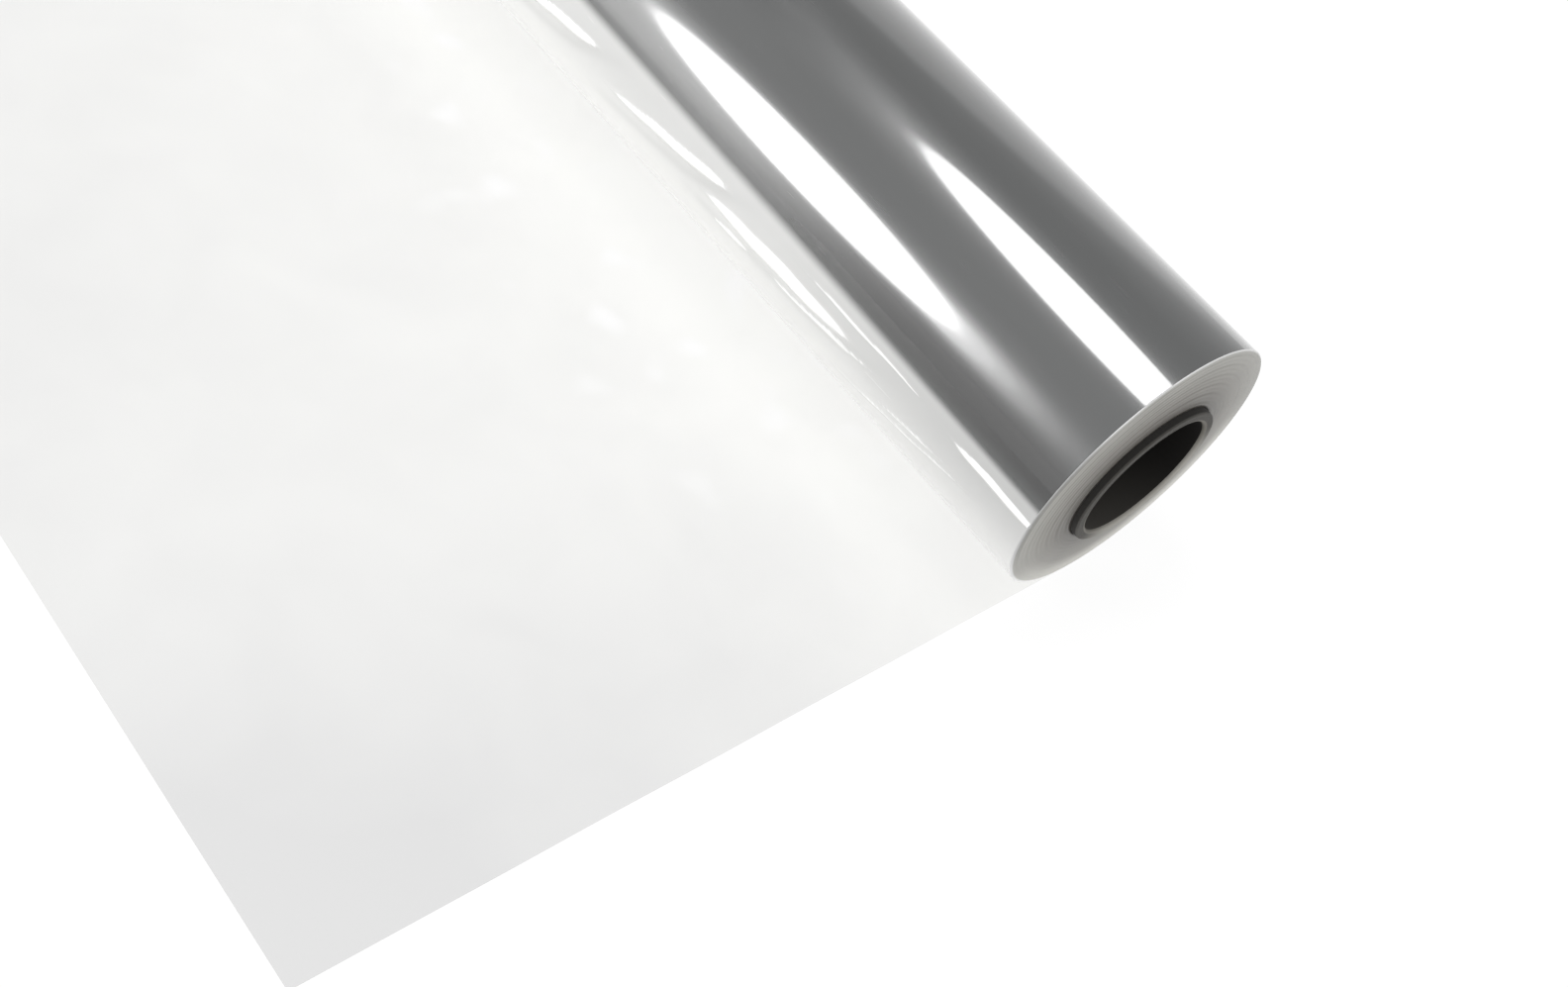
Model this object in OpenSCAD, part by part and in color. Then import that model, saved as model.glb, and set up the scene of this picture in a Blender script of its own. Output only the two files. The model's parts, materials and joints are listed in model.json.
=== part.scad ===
// Roll of clear wrapping film on a dark tube, with a leaf of film drawn off it.
// The roll lies on its side. +X runs along the roll, +Z is up and the leaf lies towards -Y.
// The origin is on the floor, under the roll's axis and midway along it.

/* [Wound film] */
// Diameter over the outermost turn
roll_d = 60; // [50:0.5:80]
// Width of the film, which is the length of the wound roll
film_w = 400; // [200:5:600]
// Thickness of the film
film_t = 0.06; // [0.03:0.01:0.2]
// Width of the flat spot that the soft roll has settled on
flat_w = 7; // [5:0.5:9]
// Bevel round the rim of each end of the wound film
rim_bevel = 0.3; // [0.1:0.05:0.8]

/* [Turns on the ends] */
// Bands of turns that can be told apart on each end
band_n = 12; // [4:1:16]
// Most by which a band lies back from an even row
band_step = 0.3; // [0.15:0.05:0.6]
// Distance that the first turns have slipped along the tube, towards +X
turn_slip = 0.6; // [0.2:0.1:1.5]

/* [Loosened turn] */
// Most that the last turn stands off the tight turns, on the leaf's side
slack = 0.4; // [0.2:0.05:1]
// Long low buckles in the loosened turn
buckle_n = 9; // [2:1:12]
// Distance from one buckle to the next
buckle_pitch = 41; // [34:1:60]
// Distance from the film's edge to the middle of the first buckle
buckle_first = 27; // [24:1:60]
// Length of a buckle
buckle_l = 36; // [20:1:50]
// Width of a buckle at its middle
buckle_w = 4.6; // [3:0.2:8]
// Height of a buckle at its middle
buckle_h = 0.8; // [0.4:0.1:1.2]

/* [Drawn leaf] */
// Length of the leaf, from under the roll's axis to its straight cut end
leaf_l = 170; // [100:5:300]
// Height of the shallow waves in the leaf
wave_h = 0.3; // [0.1:0.05:0.6]
// Distance from one wave to the next
wave_pitch = 46; // [30:1:70]

/* [Core tube] */
// Outside diameter of the tube
core_od = 33; // [28:0.5:40]
// Wall of the tube
core_wall = 2.3; // [1.5:0.1:4]
// Length of tube that stands beyond the outermost turn at each end
core_proud = 2.1; // [0.5:0.1:6]
// Bevel round the outside of the tube's ends
core_bevel = 0.45; // [0.1:0.05:0.8]
// Bevel round the mouths of the tube's bore
mouth_bevel = 0.6; // [0.2:0.05:1]

/* [Hidden] */
// Clearance between the tube and the first turn
wind_gap = 0.05;
// Faces round each round form
$fn = 180;
// Length of leaf in which the waves rise from nothing, beside the roll
wave_start = 24;
// Length of one flat facet of a wave
wave_facet = 2.5;
// Share by which the second, longer wave changes the first, and its length in waves
wave_drift = 0.45;
wave_drift_pitch = 2.7;
// Angle from one band's place to the next, which keeps the steps from repeating
band_turn = 137.5;
// Place of the buckles round the roll, from straight up towards the leaf, and their slant
buckle_turn = 97.5;
buckle_slant = 7;
// Facets along half a buckle, and the share by which it runs on under the turns
buckle_facets = 5;
buckle_over = 1.2;
// Reach of a cutting block past what it cuts
spare = 1;

roll_r = roll_d / 2;
core_r = core_od / 2;
bore_r = core_r - core_wall;
core_l = film_w + 2 * core_proud;
wound_r = core_r + wind_gap;
axis_z = sqrt(roll_r * roll_r - flat_w * flat_w / 4);
band_w = (roll_r - wound_r) / band_n;
// The loosened turn is an arc of a smaller circle. It leaves the tight turns at the height of the
// axis and meets them again at the floor, so its centre lies on the line halfway between the two.
slack_shift = slack * (2 * roll_r + slack) / ((2 - sqrt(2)) * roll_r + 2 * slack);
slack_r = roll_r + slack - slack_shift;
buckle_r = (buckle_w * buckle_w / 4 + buckle_h * buckle_h) / (2 * buckle_h);
wave_n = ceil(leaf_l / wave_facet);

// How far band i of the turns lies towards +X. The first turns have slipped the furthest,
// neighbours differ by an uneven amount, and the outermost band hasn't moved.
function band_shift(i) =
    i == band_n - 1 ? 0
    : turn_slip * (1 - i / (band_n - 1)) - band_step * (1 + 2 * (i % 2) + 0.4 * sin(band_turn * i)) / 4;

// Half of an end's outline, from the tube out to the rim, at end = 1 or -1. Every turn is as
// wide as the film, so what stands out at one end lies back at the other.
function end_steps(end) = concat(
    [for (i = [0 : band_n - 1])
        each [
            [wound_r + i * band_w, end * film_w / 2 + band_shift(i)],
            [
                wound_r + (i + 1) * band_w - (i == band_n - 1 ? rim_bevel : 0),
                end * film_w / 2 + band_shift(i)
            ]
        ]
    ],
    [[roll_r, end * (film_w / 2 - rim_bevel)]]
);

// Radius of the loosened turn about the roll's axis, at an angle from straight up towards the leaf
function slack_reach(angle) =
    let (turned = angle - 135)
    slack_shift * cos(turned) + sqrt(pow(slack_r, 2) - pow(slack_shift * sin(turned), 2));

function reversed(list) = [for (i = [len(list) - 1 : -1 : 0]) list[i]];

// Height of the leaf's underside at a distance from the line under the roll's axis
function leaf_rise(distance) =
    let (
        fade = min(1, max(0, distance - flat_w) / wave_start),
        drift = 1 - wave_drift * (1 + sin(360 * distance / wave_pitch / wave_drift_pitch)) / 2
    )
    wave_h * fade * drift * (1 - cos(360 * distance / wave_pitch)) / 2;

module along_roll() {
    rotate([90, 0, 90]) children();
}

module tight_turns() {
    translate([0, 0, axis_z])
        rotate([0, 90, 0])
            rotate_extrude()
                polygon(concat(end_steps(-1), reversed(end_steps(1))));
}

module loosened_turn() {
    translate([0, -slack_shift / sqrt(2), axis_z - slack_shift / sqrt(2)])
        rotate([0, 90, 0])
            difference() {
                cylinder(h = film_w - 2 * rim_bevel, r = slack_r, center = true);
                cylinder(h = film_w, r = slack_r - 2 * band_w, center = true);
            }
}

// A spindle that lies along the roll, sunk until only a low ridge shows
module buckle() {
    rotate([0, 90, 0])
        rotate_extrude()
            polygon(concat(
                [[0, -buckle_over * buckle_l / 2]],
                [for (i = [-buckle_facets : buckle_facets])
                    let (share = buckle_over * i / buckle_facets)
                    [buckle_r - buckle_h * share * share, share * buckle_l / 2]
                ],
                [[0, buckle_over * buckle_l / 2]]
            ));
}

module buckles() {
    for (i = [0 : buckle_n - 1])
        translate([film_w / 2 - buckle_first - i * buckle_pitch, 0, axis_z])
            rotate([buckle_turn, 0, 0])
                translate([0, 0, slack_reach(buckle_turn) + buckle_h - buckle_r])
                    rotate([0, 0, buckle_slant])
                        buckle();
}

module leaf() {
    along_roll()
        linear_extrude(height = film_w, center = true)
            polygon(concat(
                [for (i = [0 : wave_n])
                    let (distance = leaf_l * i / wave_n)
                    [-distance, leaf_rise(distance)]
                ],
                [for (i = [wave_n : -1 : 0])
                    let (distance = leaf_l * i / wave_n)
                    [-distance, leaf_rise(distance) + film_t]
                ]
            ));
}

module film() {
    color([0.62, 0.64, 0.64, 0.85])
        union() {
            difference() {
                union() {
                    tight_turns();
                    loosened_turn();
                    buckles();
                }
                translate([0, 0, -roll_r])
                    cube([film_w + 2 * spare, 2 * roll_d, 2 * roll_r], center = true);
            }
            leaf();
        }
}

module core_tube() {
    color([0.2, 0.2, 0.19])
        translate([0, 0, axis_z])
            rotate([0, 90, 0])
                rotate_extrude()
                    polygon([
                        [bore_r, -core_l / 2 + mouth_bevel],
                        [bore_r + mouth_bevel, -core_l / 2],
                        [core_r - core_bevel, -core_l / 2],
                        [core_r, -core_l / 2 + core_bevel],
                        [core_r, core_l / 2 - core_bevel],
                        [core_r - core_bevel, core_l / 2],
                        [bore_r + mouth_bevel, core_l / 2],
                        [bore_r, core_l / 2 - mouth_bevel]
                    ]);
}

film();
core_tube();
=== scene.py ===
"""Looks of a roll of clear wrapping film, with a leaf of film drawn off from under it."""

import json
import logging
import math
import random
from collections.abc import Callable
from dataclasses import dataclass
from enum import Enum
from functools import partial

import bpy
import numpy as np
from mathutils import Matrix, Vector


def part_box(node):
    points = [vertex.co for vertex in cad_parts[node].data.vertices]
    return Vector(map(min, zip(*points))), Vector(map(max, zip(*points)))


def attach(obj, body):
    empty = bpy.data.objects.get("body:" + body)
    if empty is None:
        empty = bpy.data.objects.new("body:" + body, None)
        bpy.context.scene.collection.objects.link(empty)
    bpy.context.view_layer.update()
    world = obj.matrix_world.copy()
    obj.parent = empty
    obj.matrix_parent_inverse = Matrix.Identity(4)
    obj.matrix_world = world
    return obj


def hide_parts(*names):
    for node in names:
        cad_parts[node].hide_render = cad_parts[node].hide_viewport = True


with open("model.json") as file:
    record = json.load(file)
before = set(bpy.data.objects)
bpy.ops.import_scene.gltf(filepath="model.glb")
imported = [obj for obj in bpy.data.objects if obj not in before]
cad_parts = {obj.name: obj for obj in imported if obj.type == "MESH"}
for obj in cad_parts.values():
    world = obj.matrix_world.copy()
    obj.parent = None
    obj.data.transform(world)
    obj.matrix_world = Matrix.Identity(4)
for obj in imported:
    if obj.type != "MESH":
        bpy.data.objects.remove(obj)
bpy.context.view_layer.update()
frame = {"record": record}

LOG = logging.getLogger("film_roll")
MM = 0.001
BODY = "root"
# Depth of the fine relief of film and board, which shows only as a slight play of the light
FINE_RELIEF = 0.05 * MM

Span = tuple[float, float]
Triple = tuple[float, float, float]
Faces = list[tuple[int, ...]]
Adder = Callable[..., bpy.types.Node]


class End(Enum):
    """The two ends of the roll, by their sign along X."""

    FAR = -1
    NEAR = 1


class FilmSlot(Enum):
    """The material slots of the wound film."""

    TURNS = 0
    EDGES = 1


class TubeSlot(Enum):
    """The material slots of the tube."""

    BOARD = 0
    CUT_END = 1
    LIP = 2
    BORE = 3


def linear_colour(code: str) -> tuple[float, float, float, float]:
    """Turns an sRGB hex colour to a linear one.

    Args:
        code: The colour as six hex digits after a hash sign.

    Returns:
        Linear red, green, blue and an alpha of 1.
    """
    parts = [int(code[i : i + 2], 16) / 255 for i in (1, 3, 5)]
    red, green, blue = (p / 12.92 if p <= 0.04045 else ((p + 0.055) / 1.055) ** 2.4 for p in parts)
    return red, green, blue, 1.0


def add_node(
    tree: bpy.types.NodeTree,
    kind: str,
    settings: dict | None = None,
    links: dict | None = None,
) -> bpy.types.Node:
    """Adds a node with its settings and links.

    Args:
        tree: The node tree that it goes into.
        kind: The node's Blender type.
        settings: Values by the name of a property, or by the name or number of an input.
        links: Sockets by the name or number of the input that each goes to. A node stands for its
            first output.

    Returns:
        The new node.
    """
    node = tree.nodes.new(kind)
    for key, value in (settings or {}).items():
        if isinstance(key, int) or key in node.inputs:
            node.inputs[key].default_value = value
        else:
            setattr(node, key, value)
    for key, source in (links or {}).items():
        socket = source.outputs[0] if isinstance(source, bpy.types.Node) else source
        tree.links.new(socket, node.inputs[key])
    return node


def new_material(name: str) -> tuple[bpy.types.Material, Adder]:
    """Makes a node material with an empty tree.

    Args:
        name: The material's name.

    Returns:
        The material, and what adds a node to its tree.
    """
    material = bpy.data.materials.new(name)
    material.use_nodes = True
    material.node_tree.nodes.clear()
    return material, partial(add_node, material.node_tree)


def smooth_step(value: np.ndarray | float, low: float, high: float) -> np.ndarray:
    """Rises smoothly from 0 at low to 1 at high.

    Args:
        value: Where it is read.
        low: Where the rise starts.
        high: Where the rise ends.

    Returns:
        The height at each value.
    """
    share = np.clip((np.asarray(value, float) - low) / (high - low), 0.0, 1.0)
    return share * share * (3 - 2 * share)


def make_piece(
    name: str,
    points: np.ndarray,
    faces: Faces,
    materials: list[bpy.types.Material],
    slots: np.ndarray | None = None,
    marks: dict[str, np.ndarray] | None = None,
) -> bpy.types.Object:
    """Makes a smooth mesh object that rides on the roll's one body.

    Args:
        name: The piece's name.
        points: Vertex places in metres, one row each.
        faces: Vertex numbers round each face.
        materials: The piece's materials, in slot order.
        slots: Material slot of each face, or None for slot 0 throughout.
        marks: Point attributes by name, one number for each vertex.

    Returns:
        The new object.
    """
    mesh = bpy.data.meshes.new(name)
    mesh.from_pydata(points.tolist(), [], faces)
    for material in materials:
        mesh.materials.append(material)
    if slots is not None:
        mesh.polygons.foreach_set("material_index", slots.astype(np.int32))
    mesh.polygons.foreach_set("use_smooth", np.ones(len(faces), bool))
    for key, values in (marks or {}).items():
        layer = mesh.attributes.new(key, "FLOAT", "POINT")
        layer.data.foreach_set("value", values.astype(np.float32))
    mesh.validate()
    mesh.update()
    piece = bpy.data.objects.new(name, mesh)
    bpy.context.scene.collection.objects.link(piece)
    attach(piece, BODY)
    return piece


def grid_faces(rows: int, columns: int, first: int = 0, close: bool = False) -> Faces:
    """Joins a grid of vertices, stored row by row, with four-sided faces.

    Args:
        rows: Rows in the grid.
        columns: Vertices in each row.
        first: Number of the grid's first vertex.
        close: Whether the last column joins the first.

    Returns:
        Vertex numbers round each face.
    """
    across = columns if close else columns - 1
    return [
        (
            first + row * columns + column,
            first + row * columns + (column + 1) % columns,
            first + (row + 1) * columns + (column + 1) % columns,
            first + (row + 1) * columns + column,
        )
        for row in range(rows - 1)
        for column in range(across)
    ]


def ring_faces(one: int, other: int, count: int) -> Faces:
    """Joins two closed rings of vertices with four-sided faces.

    Args:
        one: Number of the first ring's first vertex.
        other: Number of the second ring's first vertex.
        count: Vertices in each ring.

    Returns:
        Vertex numbers round each face.
    """
    return [(one + i, one + (i + 1) % count, other + (i + 1) % count, other + i) for i in range(count)]


def flipped(faces: Faces) -> Faces:
    """Turns faces over, so that they look the other way."""
    return [tuple(reversed(face)) for face in faces]


def shifted(place: Triple, offset: Triple) -> Triple:
    """Moves a place by an offset, both in metres."""
    return tuple(start + step for start, step in zip(place, offset))


@dataclass(frozen=True)
class RollSizes:
    """Sizes of the roll in metres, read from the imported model.

    Angles round the roll are in degrees from straight up towards the leaf.
    """

    radius: float
    axis_z: float
    film_half: float
    leaf_length: float
    tube_radius: float
    tube_half: float
    bore_radius: float
    tube_proud: float = 2.1 * MM
    tube_bevel: float = 0.45 * MM
    mouth_bevel: float = 0.6 * MM
    wind_gap: float = 0.05 * MM
    film_thick: float = 0.06 * MM
    flat_half: float = 3.5 * MM
    rim_bevel: float = 0.3 * MM
    slack: float = 0.4 * MM
    slack_middle: float = 135.0
    band_count: int = 12
    band_step: float = 0.04 * MM
    band_uneven: float = 0.4
    band_turn: float = 137.5
    turn_slip: float = 0.6 * MM
    wave_height: float = 0.3 * MM
    wave_pitch: float = 46 * MM
    wave_start: float = 24 * MM
    wave_drift: float = 0.45
    wave_drift_pitch: float = 2.7
    settle_from: float = 35 * MM
    settle_to: float = 5 * MM

    @classmethod
    def from_frame(cls, record: dict) -> "RollSizes":
        """Reads the sizes from the CAD boxes and the bore mount.

        Args:
            record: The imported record.

        Returns:
            The sizes.
        """
        film_low, film_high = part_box("film")
        tube_low, tube_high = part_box("core_tube")
        bore = next(m for m in record["mounts"] if m["name"] == "core_bore")
        return cls(
            radius=film_high.y,
            axis_z=bore["pos_m"][2],
            film_half=tube_high.x - cls.tube_proud,
            leaf_length=-film_low.y,
            tube_radius=tube_high.y,
            tube_half=tube_high.x,
            bore_radius=bore["dims"]["r_mm"] * MM,
        )

    @property
    def wound_radius(self) -> float:
        """Radius of the first turn, round the tube."""
        return self.tube_radius + self.wind_gap

    @property
    def near_middle(self) -> Triple:
        """Middle of the near end of the wound film."""
        return self.film_half, 0.0, self.axis_z

    def slack_radius(self, angle: np.ndarray) -> np.ndarray:
        """Radius of the outermost turn, with its loosened arc on the leaf's side.

        Args:
            angle: Angles round the roll, in degrees.

        Returns:
            The radius at each angle.
        """
        shift = self.slack * (2 * self.radius + self.slack)
        shift /= (2 - math.sqrt(2)) * self.radius + 2 * self.slack
        arc = self.radius + self.slack - shift
        turned = np.radians(angle - self.slack_middle)
        loose = shift * np.cos(turned) + np.sqrt(arc**2 - (shift * np.sin(turned)) ** 2)
        return np.maximum(self.radius, loose)

    def leaf_rise(self, distance: np.ndarray) -> np.ndarray:
        """Height of the leaf's underside: the solid's shallow waves, settled at the cut end.

        Args:
            distance: Distances from the line under the roll's axis.

        Returns:
            The height at each distance.
        """
        fade = np.clip((distance - 2 * self.flat_half) / self.wave_start, 0, 1)
        turn = 2 * math.pi * distance / self.wave_pitch
        drift = 1 - self.wave_drift * (1 + np.sin(turn / self.wave_drift_pitch)) / 2
        end = self.leaf_length
        settle = 1 - smooth_step(distance, end - self.settle_from, end - self.settle_to)
        return self.wave_height * fade * drift * settle * (1 - np.cos(turn)) / 2


@dataclass(frozen=True)
class WoundFilmFinish:
    """Polypropylene film, cast and stretched, wound tight: hundreds of glossy layers.

    Each layer mirrors a few per cent, so the stack is a dark silvery grey that mirrors more than
    one sheet does. Where the last turn stands off, air behind it makes it pale and milky, and that
    paleness also holds painted reflection of the white floor, stronger towards the floor and the
    outline and faint above the crease. Its ridges carry painted highlights with painted shade beside
    them, and beside the crease, near the end, a darker band is painted shade.
    """

    tight: str = "#292B2B"
    tight_pale: str = "#3B3D3D"
    # Painted shade: the darker band beside the crease, near the end
    painted_shade: str = "#0B0C0C"
    # Pale loose turn: partly its own milkiness, partly painted reflection of the white floor
    loose: str = "#F8F8F7"
    # Painted white highlight along the ridges of the loose turn
    painted_ridge_highlight: str = "#FFFFFF"
    roughness: float = 0.25
    base_ior: float = 1.6
    coat_ior: float = 1.8
    coat_roughness: float = 0.06
    # Streaks where the layers cling together, and the broader bands that they gather in
    streak: float = 14 * MM
    streak_width: float = 1.2 * MM
    streak_bump: float = 0.02
    streak_gloss: Span = (0.8, 1.2)
    band: float = 140 * MM
    band_width: float = 6 * MM
    feather: float = 0.8
    highlight_span: Span = (0.2, 0.75)

    def build(self) -> bpy.types.Material:
        """Builds the material.

        Returns:
            The material of the roll's outer surface.
        """
        material, add = new_material("polypropylene_film_wound_tight")
        place = add("ShaderNodeTexCoord").outputs["Object"]
        slack, lift, depth = (
            add("ShaderNodeAttribute", {"attribute_name": name}).outputs["Fac"]
            for name in ("slack", "lift", "depth")
        )
        along = add(
            "ShaderNodeMapping", {"Scale": (1 / self.streak, 1 / self.streak_width, 1 / self.streak_width)},
            {"Vector": place},
        )
        streaks = add(
            "ShaderNodeTexNoise", {"Scale": 1.0, "Detail": 3.0, "Roughness": 0.5}, {"Vector": along}
        )
        lengthwise = add(
            "ShaderNodeMapping", {"Scale": (1 / self.band, 1 / self.band_width, 1 / self.band_width)},
            {"Vector": place},
        )
        bands = add(
            "ShaderNodeTexNoise", {"Scale": 1.0, "Detail": 3.0, "Roughness": 0.6}, {"Vector": lengthwise}
        )
        colour = add(
            "ShaderNodeMix",
            {"data_type": "RGBA", 6: linear_colour(self.tight), 7: linear_colour(self.tight_pale)},
            {0: bands},
        )
        feathered = add(
            "ShaderNodeMath", {"operation": "MULTIPLY_ADD", 1: self.feather}, {0: streaks, 2: lift}
        )
        ridge_highlight_mask = add(
            "ShaderNodeMapRange",
            {
                "interpolation_type": "SMOOTHSTEP",
                "From Min": self.feather / 2 + self.highlight_span[0],
                "From Max": self.feather / 2 + self.highlight_span[1],
            },
            {"Value": feathered},
        )
        for share, code in ((depth, self.painted_shade), (slack, self.loose), (ridge_highlight_mask, self.painted_ridge_highlight)):
            colour = add(
                "ShaderNodeMix", {"data_type": "RGBA", 7: linear_colour(code)},
                {0: share, 6: colour.outputs[2]},
            )
        low, high = self.streak_gloss
        rough = add(
            "ShaderNodeMapRange", {"To Min": self.roughness * low, "To Max": self.roughness * high},
            {"Value": streaks},
        )
        bump = add(
            "ShaderNodeBump", {"Strength": self.streak_bump, "Distance": FINE_RELIEF}, {"Height": streaks}
        )
        shader = add(
            "ShaderNodeBsdfPrincipled",
            {
                "IOR": self.base_ior,
                "Coat Weight": 1.0,
                "Coat IOR": self.coat_ior,
                "Coat Roughness": self.coat_roughness,
            },
            {"Base Color": colour.outputs[2], "Roughness": rough, "Normal": bump},
        )
        add("ShaderNodeOutputMaterial", None, {"Surface": shader})
        return material


@dataclass(frozen=True)
class FilmEdgeFinish:
    """Slit edges of the wound film: the ends of hundreds of turns.

    They look like frosted glass, a warm grey that is painted darker towards the dark tube as shade and
    white along the very rim as a painted highlight, with faint rings.
    The roll's underside is painted paler, as light from the floor that runs up between the lowest layers.
    The rim is painted darker towards the leaf, as shade.
    """

    # Ramp from the tube out: painted shade darkens it towards the tube, and the corner is a painted white
    # highlight on the rim
    corner: str = "#FFFFFF"
    rim: str = "#B6B5AF"
    middle: str = "#928F89"
    inner: str = "#5A5650"
    middle_stop: float = 0.45
    rim_stop: float = 0.97
    # Painted light: the underside is paler, the rest a little darker
    lit_from: Triple = (0.0, 0.42, -0.91)
    lit_span: Span = (0.1, 1.0)
    lit_outward: Span = (0.5, 0.9)
    lit_gain: float = 0.93
    unlit: float = 0.9
    # Painted shade: the rim is darker on the leaf's side
    shaded_side: Triple = (0.0, -0.996, 0.087)
    shaded_span: Span = (0.75, 1.0)
    shaded_outward: Span = (0.85, 0.98)
    shade_depth: float = 0.4
    # The turns are 0.06 mm apart, too fine to show, so their rings are drawn as coarse as this
    ring_pitch: float = 0.5 * MM
    ring_shade: Span = (0.98, 1.02)
    ring_bump: float = 0.08
    blotch_size: float = 9 * MM
    blotch_shade: Span = (0.9, 1.1)
    roughness: float = 0.42
    ior: float = 1.49

    def build(self, sizes: RollSizes) -> bpy.types.Material:
        """Builds the material.

        Args:
            sizes: The roll's sizes, which place the rings.

        Returns:
            The material of the roll's two ends.
        """
        material, add = new_material("polypropylene_film_slit_edges")
        place = add("ShaderNodeTexCoord").outputs["Object"]
        centred = add(
            "ShaderNodeVectorMath", {"operation": "SUBTRACT", 1: (0.0, 0.0, sizes.axis_z)}, {0: place}
        )
        flat = add("ShaderNodeVectorMath", {"operation": "MULTIPLY", 1: (0.0, 1.0, 1.0)}, {0: centred})
        radius = add("ShaderNodeVectorMath", {"operation": "LENGTH"}, {0: flat})
        rings = add(
            "ShaderNodeTexNoise", {"noise_dimensions": "1D", "Scale": 1 / self.ring_pitch, "Detail": 3.0},
            {"W": radius.outputs["Value"]},
        )
        share = add(
            "ShaderNodeMapRange", {"From Min": sizes.wound_radius, "From Max": sizes.radius},
            {"Value": radius.outputs["Value"]},
        )
        tone = add("ShaderNodeValToRGB", None, {"Fac": share})
        ramp = tone.color_ramp
        ramp.elements[0].color = linear_colour(self.inner)
        ramp.elements[1].color = linear_colour(self.corner)
        ramp.elements.new(self.middle_stop).color = linear_colour(self.middle)
        ramp.elements.new(self.rim_stop).color = linear_colour(self.rim)
        shade = add(
            "ShaderNodeMapRange", {"To Min": self.ring_shade[0], "To Max": self.ring_shade[1]},
            {"Value": rings},
        )
        blotches = add(
            "ShaderNodeTexNoise", {"Scale": 1 / self.blotch_size, "Detail": 2.0}, {"Vector": place}
        )
        uneven = add(
            "ShaderNodeMapRange", {"To Min": self.blotch_shade[0], "To Max": self.blotch_shade[1]},
            {"Value": blotches},
        )
        patched = add("ShaderNodeMath", {"operation": "MULTIPLY"}, {0: uneven, 1: shade})
        outward = add("ShaderNodeVectorMath", {"operation": "NORMALIZE"}, {0: flat})
        facing = add("ShaderNodeVectorMath", {"operation": "DOT_PRODUCT", 1: self.lit_from}, {0: outward})
        sideways = add(
            "ShaderNodeVectorMath", {"operation": "DOT_PRODUCT", 1: self.shaded_side}, {0: outward}
        )
        spans = (
            (facing.outputs["Value"], self.lit_span, 1.0),
            (share, self.lit_outward, 1.0),
            (sideways.outputs["Value"], self.shaded_span, self.shade_depth),
            (share, self.shaded_outward, 1.0),
        )
        below, shallow, shaded, outermost = (
            add(
                "ShaderNodeMapRange",
                {"interpolation_type": "SMOOTHSTEP", "From Min": low, "From Max": high, "To Max": most},
                {"Value": source},
            )
            for source, (low, high), most in spans
        )
        piped = add("ShaderNodeMath", {"operation": "MULTIPLY"}, {0: below, 1: shallow})
        gain = add(
            "ShaderNodeMath", {"operation": "MULTIPLY_ADD", 1: self.lit_gain, 2: self.unlit}, {0: piped}
        )
        rim_shade = add("ShaderNodeMath", {"operation": "MULTIPLY"}, {0: shaded, 1: outermost})
        dimmed = add("ShaderNodeMath", {"operation": "SUBTRACT"}, {0: gain, 1: rim_shade})
        both = add("ShaderNodeMath", {"operation": "MULTIPLY"}, {0: dimmed, 1: patched})
        colour = add("ShaderNodeVectorMath", {"operation": "SCALE"}, {0: tone, "Scale": both})
        bump = add(
            "ShaderNodeBump", {"Strength": self.ring_bump, "Distance": FINE_RELIEF}, {"Height": rings}
        )
        shader = add(
            "ShaderNodeBsdfPrincipled", {"Roughness": self.roughness, "IOR": self.ior},
            {"Base Color": colour, "Normal": bump},
        )
        add("ShaderNodeOutputMaterial", None, {"Surface": shader})
        return material


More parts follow.
